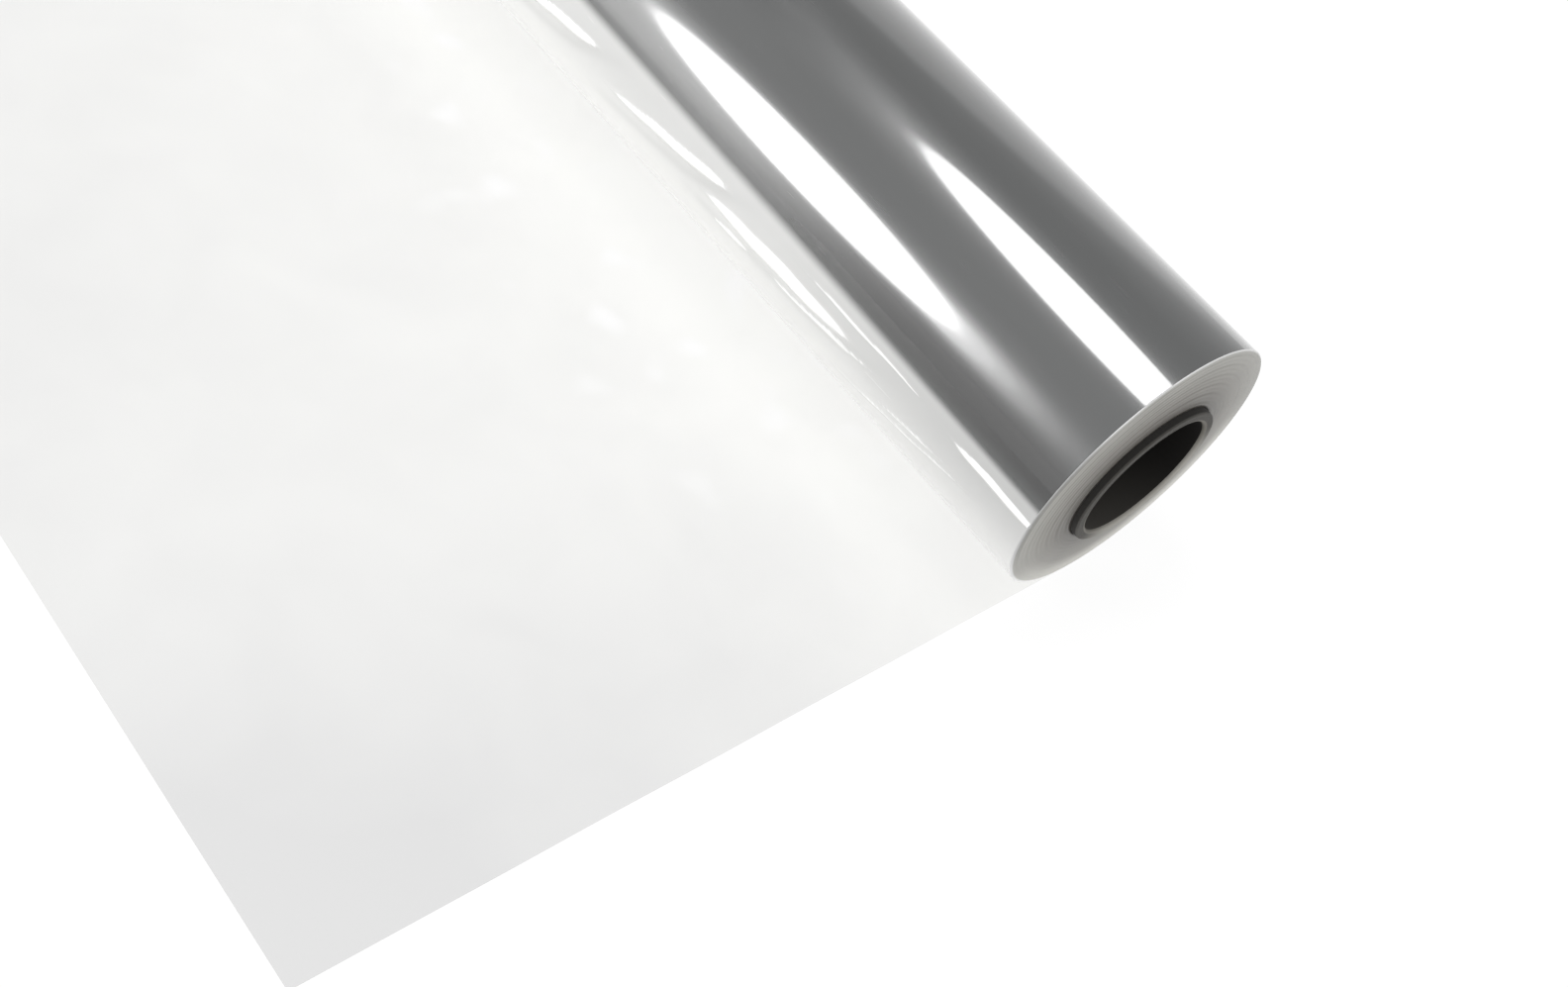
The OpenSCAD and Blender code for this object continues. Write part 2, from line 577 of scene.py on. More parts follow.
@dataclass(frozen=True)
class DrawnLeafFinish:
    """One layer of clear polypropylene film, cast and stretched.

    What lies under it shows through almost unchanged. It takes a little light, mirrors a few per
    cent and more at a glance, and handling has left faint soft marks. Near the roll, away from its
    near end, it carries small painted glints.
    """

    clear: str = "#FEFEFD"
    glint: str = "#FFFFFF"
    darker_tint: str = "#F1F1F1"
    mirrored: str = "#C8C8C8"
    ior: float = 1.49
    roughness: float = 0.45
    mark_size: float = 22 * MM
    mark_depth: float = 0.3
    glint_size: float = 13 * MM
    glint_span: Span = (0.6, 0.85)
    glint_outward: Span = (0.12, 0.4)
    # The darker tint grows away from the roll and is stronger near the roll's near end; right beside the
    # roll the leaf is kept clear, as painted light against the roll's shadow
    tint_slope: float = 0.45
    near_reach: float = 2.5
    near_slope: float = 0.4
    near_tint: float = 0.2
    beside_reach: float = 0.2
    beside_tint: float = 0.14

    def build(self, sizes: RollSizes) -> bpy.types.Material:
        """Builds the material.

        Args:
            sizes: The roll's sizes, which place the darker corner.

        Returns:
            The material of the drawn leaf, for each of its two faces.
        """
        material, add = new_material("polypropylene_film_single_layer")
        place = add("ShaderNodeTexCoord").outputs["Object"]
        marks = add(
            "ShaderNodeTexNoise", {"Scale": 1 / self.mark_size, "Detail": 2.0, "Distortion": 0.4},
            {"Vector": place},
        )
        axes = add("ShaderNodeSeparateXYZ", None, {"Vector": place})
        outward = add(
            "ShaderNodeMapRange", {"From Min": -sizes.radius, "From Max": -sizes.leaf_length},
            {"Value": axes.outputs["Y"]},
        )
        glints = add("ShaderNodeTexNoise", {"Scale": 1 / self.glint_size, "Detail": 0.5}, {"Vector": place})
        near_from = sizes.film_half - self.near_reach * sizes.radius
        spans = (
            (axes.outputs["X"], near_from, sizes.film_half, 0.0, 1.0),
            (outward, 0.0, self.beside_reach, 0.0, self.beside_tint),
            (glints, *self.glint_span, 0.0, 1.0),
            (outward, *self.glint_outward, 1.0, 0.0),
        )
        near, beside, glint_mask, close = (
            add(
                "ShaderNodeMapRange",
                {
                    "interpolation_type": "SMOOTHSTEP",
                    "From Min": low,
                    "From Max": high,
                    "To Min": first,
                    "To Max": last,
                },
                {"Value": source},
            )
            for source, low, high, first, last in spans
        )
        slope = add(
            "ShaderNodeMath", {"operation": "MULTIPLY_ADD", 1: self.near_slope, 2: self.tint_slope},
            {0: near},
        )
        darkening = add("ShaderNodeMath", {"operation": "MULTIPLY_ADD"}, {0: outward, 1: slope, 2: beside})
        corner = add(
            "ShaderNodeMath", {"operation": "MULTIPLY_ADD", 1: self.near_tint}, {0: near, 2: darkening}
        )
        centred = add("ShaderNodeMath", {"operation": "SUBTRACT", 1: 0.5}, {0: marks})
        mixed = add(
            "ShaderNodeMath", {"operation": "MULTIPLY_ADD", 1: self.mark_depth, "use_clamp": True},
            {0: centred, 2: corner},
        )
        tint = add(
            "ShaderNodeMix",
            {"data_type": "RGBA", 6: linear_colour(self.clear), 7: linear_colour(self.darker_tint)}, {0: mixed},
        )
        away = add("ShaderNodeMath", {"operation": "SUBTRACT", "use_clamp": True}, {0: close, 1: near})
        glinting = add("ShaderNodeMath", {"operation": "MULTIPLY"}, {0: glint_mask, 1: away})
        glinted = add(
            "ShaderNodeMix", {"data_type": "RGBA", 7: linear_colour(self.glint)},
            {0: glinting, 6: tint.outputs[2]},
        )
        through = add("ShaderNodeBsdfTransparent", None, {"Color": glinted.outputs[2]})
        gloss = add(
            "ShaderNodeBsdfGlossy", {"Color": linear_colour(self.mirrored), "Roughness": self.roughness}
        )
        mirrored = add("ShaderNodeFresnel", {"IOR": self.ior})
        side = add("ShaderNodeNewGeometry")
        outward_only = add("ShaderNodeMix", {3: 0.0}, {0: side.outputs["Backfacing"], 2: mirrored})
        shader = add("ShaderNodeMixShader", None, {0: outward_only, 1: through, 2: gloss})
        add("ShaderNodeOutputMaterial", None, {"Surface": shader})
        return material


@dataclass(frozen=True)
class TubeBoardFinish:
    """Paperboard, dyed through and wound in a spiral: a dark, dull tube with fine fibres.

    Its cut ends are a little paler, and painted paler still on their lower side, away from the leaf, as
    painted light, and its lip is painted pale as a painted highlight. The lower wall of its bore, on the
    leaf's side, is painted greyer than the wall above, as light that falls in from above.
    """

    name: str = "paperboard_spiral_wound"
    board: str = "#181715"
    fibre: str = "#2B2926"
    # Painted light: the colour, strength, side and span of the paler lit side
    painted_light: str = "#B4B1AA"
    painted_light_share: float = 0.0
    painted_light_side: Triple = (0.0, 0.68, -0.73)
    painted_light_span: Span = (0.1, 0.8)
    # Real fibres are finer. They are drawn as coarse as they need to be to show
    fibre_size: float = 0.6 * MM
    fibre_length: float = 2.4 * MM
    fibre_bump: float = 0.3
    roughness: float = 0.62
    ior: float = 1.4

    def build(self, sizes: RollSizes) -> bpy.types.Material:
        """Builds the material.

        Args:
            sizes: The roll's sizes, which place the painted light.

        Returns:
            The material of one part of the tube.
        """
        material, add = new_material(self.name)
        place = add("ShaderNodeTexCoord").outputs["Object"]
        stretched = add(
            "ShaderNodeMapping",
            {"Scale": (1 / self.fibre_length, 1 / self.fibre_size, 1 / self.fibre_size)}, {"Vector": place},
        )
        fibres = add(
            "ShaderNodeTexNoise", {"Scale": 1.0, "Detail": 5.0, "Roughness": 0.6}, {"Vector": stretched}
        )
        colour = add(
            "ShaderNodeMix",
            {"data_type": "RGBA", 6: linear_colour(self.board), 7: linear_colour(self.fibre)}, {0: fibres},
        )
        centred = add(
            "ShaderNodeVectorMath", {"operation": "SUBTRACT", 1: (0.0, 0.0, sizes.axis_z)}, {0: place}
        )
        facing = add(
            "ShaderNodeVectorMath", {"operation": "DOT_PRODUCT", 1: self.painted_light_side}, {0: centred}
        )
        painted_light_mask = add(
            "ShaderNodeMapRange",
            {
                "interpolation_type": "SMOOTHSTEP",
                "From Min": self.painted_light_span[0] * sizes.tube_radius,
                "From Max": self.painted_light_span[1] * sizes.tube_radius,
                "To Max": self.painted_light_share,
            },
            {"Value": facing.outputs["Value"]},
        )
        lit_colour = add(
            "ShaderNodeMix", {"data_type": "RGBA", 7: linear_colour(self.painted_light)},
            {0: painted_light_mask, 6: colour.outputs[2]},
        )
        bump = add(
            "ShaderNodeBump", {"Strength": self.fibre_bump, "Distance": FINE_RELIEF}, {"Height": fibres}
        )
        shader = add(
            "ShaderNodeBsdfPrincipled", {"Roughness": self.roughness, "IOR": self.ior},
            {"Base Color": lit_colour.outputs[2], "Normal": bump},
        )
        add("ShaderNodeOutputMaterial", None, {"Surface": shader})
        return material


@dataclass(frozen=True)
class Buckle:
    """A long low ridge where the loosened turn has buckled.

    Lengths are in millimetres from the near end, and angles in degrees round the roll. A skew
    under 1 puts the fullest place nearer the start.
    """

    start: float
    end: float
    angle_start: float
    angle_end: float
    half_width: float
    height: float = 0.8
    # Strength of the painted highlight along the ridge
    white: float = 1.0
    skew: float = 1.0

    def share(self, place: np.ndarray) -> np.ndarray:
        """How far along the ridge places are that lie so many metres from the near end."""
        return (place / MM - self.start) / (self.end - self.start)

    def middle(self, share: np.ndarray) -> np.ndarray:
        """Angle of the ridge's middle line at each share of its length, in degrees."""
        return self.angle_start + (self.angle_end - self.angle_start) * share


@dataclass
class WoundTurns:
    """The film wound on its tube: outer surface, stepped ends and bore in one closed mesh.

    Angles are in degrees round the roll, from straight up towards the leaf.
    """

    sizes: RollSizes
    turns_finish: WoundFilmFinish = WoundFilmFinish()
    edge_finish: FilmEdgeFinish = FilmEdgeFinish()
    seed: int = 7
    # The line at which the last turn comes loose
    crease_near: float = 85.0
    crease_slope: float = -3.5 / (120 * MM)
    crease_lowest: float = 79.0
    crease_bend: Span = (78.0, 84.0)
    crease_fade: Span = (88.0, 110.0)
    # Mesh lines round the roll, the last one a degree short of the first, and rows along it
    fine_from: float = 77.0
    fine_to: float = 116.0
    fine_step: float = 0.5
    middle_to: float = 150.0
    middle_step: float = 1.0
    coarse_step: float = 2.4
    full_turn: float = 359.0
    stations: int = 300
    station_margin: float = 1 * MM
    last_rows: Span = (0.05 * MM, 0.35 * MM)
    # Rings on the ends, set in by a share of a band and rippled by up to so many millimetres
    rings_per_band: int = 3
    ring_inset: float = 0.02
    ring_ripple: float = 0.05
    # Sway of the ridges' middle lines and width of their tips in degrees, and how their painted highlights
    # fade at the edges
    sway: float = 0.2
    sway_pitch: float = 2.6 * MM
    tip_half: float = 1e-6
    crisp_edge: Span = (0.05, 0.5)
    soft_edge: Span = (0.05, 0.9)
    # The row of ridges that runs on to the far end, in millimetres and degrees as in Buckle
    row_pitch: float = 41.0
    row_jitter: float = 3.0
    row_length: Span = (36.0, 50.0)
    row_angles: Span = (92.5, 101.5)
    row_drop: float = 2.0
    row_half_width: Span = (2.4, 4.0)
    row_height: Span = (0.6, 0.9)
    row_clear: float = 50.0
    # The painted shade of a shallow fold beside each wide ridge, by share of the ridge's length; the mesh
    # has no fold
    fold_least: float = 2.2
    fold_offset: float = 8.0
    fold_crossing: Span = (-0.25, 0.35)
    fold_lead: float = 1.0
    fold_rise: Span = (-0.3, 0.2)
    fold_end: Span = (0.9, 1.15)
    fold_width: float = 2.6
    fold_depth: float = 0.11
    # How pale the loosened turn is, partly painted reflection of the white floor that grows towards the
    # floor and the outline, and the fainter painted reflection above the crease
    inward_span: Span = (0.0, 90 * MM)
    edge_lead: Span = (0.4, 0.8)
    edge_width: Span = (1.8, 1.4)
    edge_share: float = 0.5
    down_span: Span = (86.0, 134.0)
    down_share: float = 0.36
    inward_share: float = 0.16
    under_span: Span = (100.0, 134.0)
    under_share: float = 0.5
    low_span: Span = (124.0, 138.0)
    low_share: float = 0.16
    closing_span: Span = (165.0, 178.0)
    spread_span: Span = (50.0, 72.0)
    spread_fade: Span = (74.0, 78.0)
    spread_loss: float = 0.6
    spread_inward: Span = (36 * MM, 108 * MM)
    spread_share: float = 0.22
    # Where the turns are pressed together beside the crease
    # Where a band of painted shade lies beside the crease, near the end
    shade_band_from: Span = (62.0, 71.0)
    shade_band_to: Span = (79.0, 83.0)
    shade_band_inward: Span = (60 * MM, 95 * MM)

    def buckles(self) -> list[Buckle]:
        """Lists the ridges: those near the end that shows, then a like row to the far end.

        Returns:
            The ridges.
        """
        shown = [
            Buckle(-6, 23, 92.4, 91.6, 1.9, 0.5, 0.9),
            Buckle(9, 53, 103.0, 117.0, 1.1, 0.2, 0.5),
            Buckle(18, 42, 102.5, 109.0, 1.0, 0.25, 0.5),
            Buckle(27, 68, 89.4, 89.6, 0.9, 0.15, 0.6),
            Buckle(40, 64, 98.5, 104.0, 0.9, 0.25, 0.6),
            Buckle(47, 96, 97.0, 100.5, 4.0, 0.8),
            Buckle(46, 74, 101.0, 106.0, 1.3, 0.3, 0.7),
            Buckle(78, 91, 106.0, 108.0, 1.6, 0.3, 0.7),
            Buckle(88, 128, 91.0, 102.0, 2.6, 0.8, 0.95, 0.68),
            Buckle(131, 172, 91.0, 102.5, 2.6, 0.8, 0.95, 0.68),
        ]
        chance = random.Random(self.seed)
        place = shown[-1].start + self.row_pitch
        while place < 2 * self.sizes.film_half / MM - self.row_clear:
            drop = chance.uniform(-self.row_drop, self.row_drop)
            length = chance.uniform(*self.row_length)
            first, last = (angle + drop for angle in self.row_angles)
            half_width = chance.uniform(*self.row_half_width)
            height = chance.uniform(*self.row_height)
            shown.append(Buckle(place, place + length, first, last, half_width, height))
            place += self.row_pitch + chance.uniform(-self.row_jitter, self.row_jitter)
        return shown

    def angle_stations(self) -> np.ndarray:
        """Sets the mesh lines round the roll, closer together on the loosened arc.

        Returns:
            The angle of each line, in degrees.
        """
        fine = np.arange(self.fine_from, self.fine_to, self.fine_step)
        middle = np.arange(self.fine_to, self.middle_to, self.middle_step)
        coarse = np.arange(self.middle_to, self.fine_from + self.full_turn, self.coarse_step)
        return np.concatenate([fine, middle, coarse])

    def crease(self, place: np.ndarray) -> np.ndarray:
        """Angle of the line at which the last turn comes loose.

        Args:
            place: Places along the roll, in metres from the near end.

        Returns:
            The angle at each place, in degrees.
        """
        return np.maximum(self.crease_near + self.crease_slope * place, self.crease_lowest)

    def relief(self, place: np.ndarray, angle: np.ndarray) -> tuple[np.ndarray, np.ndarray]:
        """Works out the ridges of the loosened turn.

        Args:
            place: Places along the roll, in metres from the near end.
            angle: Angles round the roll, in degrees.

        Returns:
            Height off the turn in metres, and the strength of the painted highlight along the ridges, from
            0 to 1.
        """
        height = np.zeros(np.broadcast(place, angle).shape)
        white = np.zeros_like(height)
        for ridge in self.buckles():
            share = ridge.share(place)
            filled = np.clip(share, 0, 1) ** ridge.skew
            inside = 4 * filled * (1 - filled)
            middle = ridge.middle(share) + self.sway * np.sin(place / self.sway_pitch + ridge.start)
            half = ridge.half_width * np.sqrt(inside) + self.tip_half
            across = np.clip(1 - ((angle - middle) / half) ** 2, 0, 1)
            bump = across**2 * inside
            height = np.maximum(height, ridge.height * MM * bump)
            crisp = smooth_step(across * inside, *self.crisp_edge)
            soft = smooth_step(across * inside, *self.soft_edge)
            white = np.maximum(white, ridge.white * np.where(angle < middle, crisp, soft))
        return height, white

    def fold_shade(self, place: np.ndarray, angle: np.ndarray) -> np.ndarray:
        """Paints the shade of a shallow fold beside each wide ridge, crossing below its near tip; the mesh
        has no fold.

        Args:
            place: Places along the roll, in metres from the near end.
            angle: Angles round the roll, in degrees.

        Returns:
            The depth of the shade at each point, from 0 to 1.
        """
        shade = np.zeros(np.broadcast(place, angle).shape)
        for ridge in self.buckles():
            if ridge.half_width < self.fold_least:
                continue
            share = ridge.share(place)
            below = self.fold_offset * smooth_step(share, *self.fold_crossing)
            middle = ridge.middle(share) + below - self.fold_lead
            along = smooth_step(share, *self.fold_rise) * (1 - smooth_step(share, *self.fold_end))
            shade = np.maximum(shade, along * np.exp(-(((angle - middle) / self.fold_width) ** 2)))
        return shade

    def slack_and_reflection_mark(self, place: np.ndarray, angle: np.ndarray) -> np.ndarray:
        """How pale the last turn is: 1 where it stands off and 0 where it is tight, with painted reflection
        of the white floor and painted fold shade in it.

        Args:
            place: Places along the roll, in metres from the near end.
            angle: Angles round the roll, in degrees.

        Returns:
            The share at each point.
        """
        angle = (angle + 180) % 360 - 180
        down = smooth_step(angle, *self.down_span)
        inward = smooth_step(place, *self.inward_span)
        past = angle - self.crease(place) - self.edge_lead[0] + self.edge_lead[1] * inward
        past = past / (self.edge_width[0] + self.edge_width[1] * inward)
        edge = smooth_step(past, -1.0, 1.0) * (1 - smooth_step(angle, *self.closing_span))
        under = 1 - self.under_share * smooth_step(angle, *self.under_span)
        share = self.edge_share + self.down_share * down + self.inward_share * inward * under
        loose = edge * share + self.low_share * edge * smooth_step(angle, *self.low_span)
        loose = loose * (1 - self.fold_depth * self.fold_shade(place, angle))
        fade = 1 - self.spread_loss * smooth_step(angle, *self.spread_fade)
        spread = smooth_step(angle, *self.spread_span) * fade
        spread = spread * smooth_step(place, *self.spread_inward)
        return np.maximum(loose, self.spread_share * spread * (angle < self.middle_to))

    def shade_band_mark(self, place: np.ndarray, angle: np.ndarray) -> np.ndarray:
        """How much painted shade darkens the band beside the line at which the last turn comes loose.

        Args:
            place: Places along the roll, in metres from the near end.
            angle: Angles round the roll, in degrees.

        Returns:
            The share at each point.
        """
        angle = (angle + 180) % 360 - 180
        across = smooth_step(angle, *self.shade_band_from) * (1 - smooth_step(angle, *self.shade_band_to))
        return across * (1 - smooth_step(place, *self.shade_band_inward))

    def band_shift(self, band: int) -> float:
        """How far a band of turns lies towards +X, as in the solid.

        Args:
            band: The band's number, from the tube outwards.

        Returns:
            The distance in metres.
        """
        sizes = self.sizes
        last = sizes.band_count - 1
        if band == last:
            return 0.0
        uneven = sizes.band_uneven * math.sin(math.radians(sizes.band_turn * band))
        back = sizes.band_step * (1 + 2 * (band % 2) + uneven) / 4
        return sizes.turn_slip * (1 - band / last) - back

    def end_rings(self) -> list[tuple[float, float]]:
        """Rings of mesh on an end, from the tube outwards.

        Returns:
            The radius of each ring, and how far it lies towards +X.
        """
        sizes = self.sizes
        chance = random.Random(self.seed + 1)
        width = (sizes.radius - sizes.wound_radius) / sizes.band_count
        rings = []
        for band in range(sizes.band_count):
            inner = sizes.wound_radius + band * width
            outer = inner + width
            if band == sizes.band_count - 1:
                outer -= sizes.rim_bevel
            last = self.rings_per_band - 1
            inset = self.ring_inset if band else 0.0
            for step in range(last + 1):
                ripple = 0.0 if step in (0, last) else chance.uniform(0, self.ring_ripple) * MM
                radius = inner + (outer - inner) * (inset + (1 - 2 * inset) * step / last)
                rings.append((radius, self.band_shift(band) - ripple))
        return rings

    def ring_points(self, place: np.ndarray, radius: np.ndarray, angle: np.ndarray) -> np.ndarray:
        """Places points round the axis, and flattens them where the roll rests.

        Args:
            place: X of each point.
            radius: Distance of each point from the axis.
            angle: Angle of each point, in degrees.

        Returns:
            The points, one row each.
        """
        turned = np.radians(angle)
        x, y, z = np.broadcast_arrays(
            place, -radius * np.sin(turned), self.sizes.axis_z + radius * np.cos(turned)
        )
        return np.stack([x, y, np.maximum(z, 0.0)], axis=-1).reshape(-1, 3)

    def build(self) -> bpy.types.Object:
        """Builds the piece.

        Returns:
            The object.
        """
        sizes = self.sizes
        angles = self.angle_stations()
        count = len(angles)
        inner_half = sizes.film_half - sizes.rim_bevel
        extra = inner_half - np.array(self.last_rows)
        even_half = inner_half - self.station_margin
        middle = np.linspace(-even_half, even_half, self.stations)
        places = np.sort(np.concatenate([[-inner_half], -extra, middle, extra, [inner_half]]))
        rows = len(places)
        from_near = (sizes.film_half - places)[:, None]
        follow = smooth_step(angles, *self.crease_bend) * (1 - smooth_step(angles, *self.crease_fade))
        turned = angles[None, :] + (self.crease(from_near) - self.crease_near) * follow
        height, white = self.relief(from_near, turned)
        radius = sizes.slack_radius(turned) + height
        parts = [self.ring_points(places[:, None], radius, turned)]
        # slack holds the loose turn's paleness with painted reflection, lift the painted ridge highlights,
        # depth the painted shade band
        marks = {
            "slack": self.slack_and_reflection_mark(from_near, turned),
            "lift": white,
            "depth": self.shade_band_mark(from_near, turned),
        }
        faces = grid_faces(rows, count, 0, close=True)
        slots = [FilmSlot.TURNS.value] * len(faces)
        rings = self.end_rings()
        rim_share = rings[-1][0] / sizes.radius
        for end in End:
            row = 0 if end is End.FAR else rows - 1
            first = sum(len(p) for p in parts)
            for number, (ring, shift) in enumerate(reversed(rings)):
                at = turned[row] if number == 0 else angles
                reach = radius[row] * rim_share if number == 0 else np.full(count, ring)
                place = np.full(count, end.value * sizes.film_half + shift)
                parts.append(self.ring_points(place, reach, at))
            fresh = ring_faces(row * count, first, count)
            fresh += grid_faces(len(rings), count, first, close=True)
            if end is End.FAR:
                fresh = flipped(fresh)
            faces += fresh
            slots += [FilmSlot.EDGES.value] * len(fresh)
        far_bore = rows * count + (len(rings) - 1) * count
        near_bore = far_bore + len(rings) * count
        faces += flipped(ring_faces(far_bore, near_bore, count))
        slots += [FilmSlot.EDGES.value] * count
        plain = np.zeros(len(End) * len(rings) * count)
        piece = make_piece(
            "wound_turns",
            np.concatenate(parts),
            faces,
            [self.turns_finish.build(), self.edge_finish.build(sizes)],
            np.array(slots),
            {name: np.concatenate([mark.reshape(-1), plain]) for name, mark in marks.items()},
        )
        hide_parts("film")
        return piece


@dataclass
class DrawnLeaf:
    """The leaf of film that lies drawn off from under the roll: one thin closed sheet."""

    sizes: RollSizes
    finish: DrawnLeafFinish = DrawnLeafFinish()
    columns: int = 120
    rows: int = 70
    hem: float = 0.1 * MM

    def stations(self, low: float, high: float, count: int) -> np.ndarray:
        """Spaces mesh lines evenly, with one more beside each end that keeps the edge crisp.

        Args:
            low: The first line.
            high: The last line.
            count: Number of evenly spaced lines.

        Returns:
            The place of each line.
        """
        even = np.linspace(low, high, count)
        return np.sort(np.concatenate([even, [low + self.hem, high - self.hem]]))

    def build(self) -> bpy.types.Object:
        """Returns:
            The object.
        """
        sizes = self.sizes
        x = self.stations(-sizes.film_half, sizes.film_half, self.columns)
        distance = self.stations(sizes.flat_half, sizes.leaf_length, self.rows)
        rows = len(distance)
        columns = len(x)
        along, out = np.meshgrid(x, distance)
        rise = sizes.leaf_rise(out)
        lower = np.stack([along, -out, rise], axis=-1).reshape(-1, 3)
        points = np.concatenate([lower, lower + np.array([0.0, 0.0, sizes.film_thick])])
        size = rows * columns
        under = grid_faces(rows, columns)
        over = flipped(grid_faces(rows, columns, size))
        last_row = (rows - 1) * columns
        loop = list(range(columns))
        loop += [r * columns + columns - 1 for r in range(1, rows)]
        loop += [last_row + c for c in range(columns - 2, -1, -1)]
        loop += [r * columns for r in range(rows - 2, 0, -1)]
        rim = [(b, a, a + size, b + size) for a, b in zip(loop, loop[1:] + loop[:1])]
        piece = make_piece("drawn_leaf", points, under + over + rim, [self.finish.build(sizes)])
        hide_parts("film")
        return piece


@dataclass
class BoardTube:
    """The dark tube that the film is wound on, with eased rims and rings of board on its ends."""

    sizes: RollSizes
    board: TubeBoardFinish = TubeBoardFinish()
    # Painted light: the cut end is paler on its lower side, away from the leaf
    cut_end: TubeBoardFinish = TubeBoardFinish(
        "paperboard_cut_end_painted_light", "#34322E", "#4A4843", painted_light_share=0.85
    )
    # Painted highlight: the lip is pale where light catches it, and paler still on its lower side
    lip: TubeBoardFinish = TubeBoardFinish(
        "paperboard_lip_painted_highlight", "#5C5954", "#767369", painted_light_share=0.75
    )
    # Painted light: the bore's lower wall on the leaf's side is greyer, as if lit from above
    bore: TubeBoardFinish = TubeBoardFinish(
        "paperboard_bore_painted_light",
        "#151413",
        "#1F1D1B",
        "#52504C",
        painted_light_share=0.85,
        painted_light_side=(0.0, -0.64, -0.77),
        painted_light_span=(-0.4, 1.0),
        ior=1.25,
    )
    around: int = 160
    plies: int = 4
    ply_groove: float = 0.04 * MM
    ply_lip: float = 0.05 * MM
    wall_rings: int = 12
    corner_steps: tuple[float, ...] = (15.0, 30.0, 45.0, 60.0, 75.0, 90.0)

    def outline(self) -> list[tuple[float, float, TubeSlot]]:
        """Outline of half of the wall, from the middle of the outside to the middle of the bore.

        Returns:
            Radius and X of each point, and the slot of the strip that follows it.
        """
        sizes = self.sizes
        half = sizes.tube_half
        outer = sizes.tube_radius
        inner = sizes.bore_radius
        bevel = sizes.tube_bevel
        mouth = sizes.mouth_bevel
        corner = [math.radians(step) for step in self.corner_steps]
        points = [(outer, x, TubeSlot.BOARD) for x in np.linspace(0, half - bevel, self.wall_rings)]
        for turned in corner:
            ease = bevel * (1 - math.cos(turned)), bevel * (1 - math.sin(turned))
            points.append((outer - ease[0], half - ease[1], TubeSlot.CUT_END))
        step = (outer - inner - bevel - mouth) / self.plies
        for ply in range(1, self.plies):
            radius = outer - bevel - ply * step
            points.append((radius + self.ply_lip, half, TubeSlot.CUT_END))
            points.append((radius, half - self.ply_groove, TubeSlot.CUT_END))
            points.append((radius - self.ply_lip, half, TubeSlot.CUT_END))
        for turned in reversed(corner):
            ease = mouth * (1 - math.cos(turned)), mouth * (1 - math.sin(turned))
            points.append((inner + ease[0], half - ease[1], TubeSlot.LIP))
        points += [(inner, x, TubeSlot.BORE) for x in np.linspace(half - mouth, 0, self.wall_rings)]
        return points

    def build(self) -> bpy.types.Object:
        """Builds the piece.

        Returns:
            The object.
        """
        half = self.outline()
        other = [
            (radius, -x, half[number - 1][2])
            for number, (radius, x, _) in reversed(list(enumerate(half))[1:-1])
        ]
        strips = [slot.value for _, _, slot in half[:-1]] + [half[-2][2].value]
        strips += [slot.value for _, _, slot in other]
        outline = np.array([point[:2] for point in half + other])
        turned = np.linspace(0, 2 * math.pi, self.around, endpoint=False)
        radius = outline[:, 0][:, None]
        x = outline[:, 1][:, None]
        z = self.sizes.axis_z + radius * np.cos(turned)
        y = radius * np.sin(turned)
        points = np.stack([np.broadcast_to(x, y.shape), y, z], axis=-1).reshape(-1, 3)
        rows = len(outline)
        faces = grid_faces(rows, self.around, 0, close=True)
        faces += ring_faces((rows - 1) * self.around, 0, self.around)
        finishes = (self.board, self.cut_end, self.lip, self.bore)
        materials = [finish.build(self.sizes) for finish in finishes]
        slots = np.repeat(np.array(strips), self.around)
        piece = make_piece("board_tube", points, faces, materials, slots)
        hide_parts("core_tube")
        return piece


@dataclass(frozen=True)
class Softbox:
    """An oval studio lamp that faces the roll."""

    name: str
    place: Triple
    aim: Triple
    width: float
    height: float
    radiance: float

    def build(self) -> None:
        """Adds the lamp.

        Its power follows from its area, so lamps of one radiance look equally bright.
        """
        light = bpy.data.lights.new(self.name, "AREA")
        light.shape = "ELLIPSE"
        light.size = self.width
        light.size_y = self.height
        area = math.pi * self.width * self.height / 4
        light.energy = self.radiance * math.pi * area
        lamp = bpy.data.objects.new(self.name, light)
        bpy.context.scene.collection.objects.link(lamp)
        lamp.location = self.place
        lamp.rotation_mode = "QUATERNION"
        lamp.rotation_quaternion = (Vector(self.aim) - Vector(self.place)).to_track_quat("-Z", "Y")


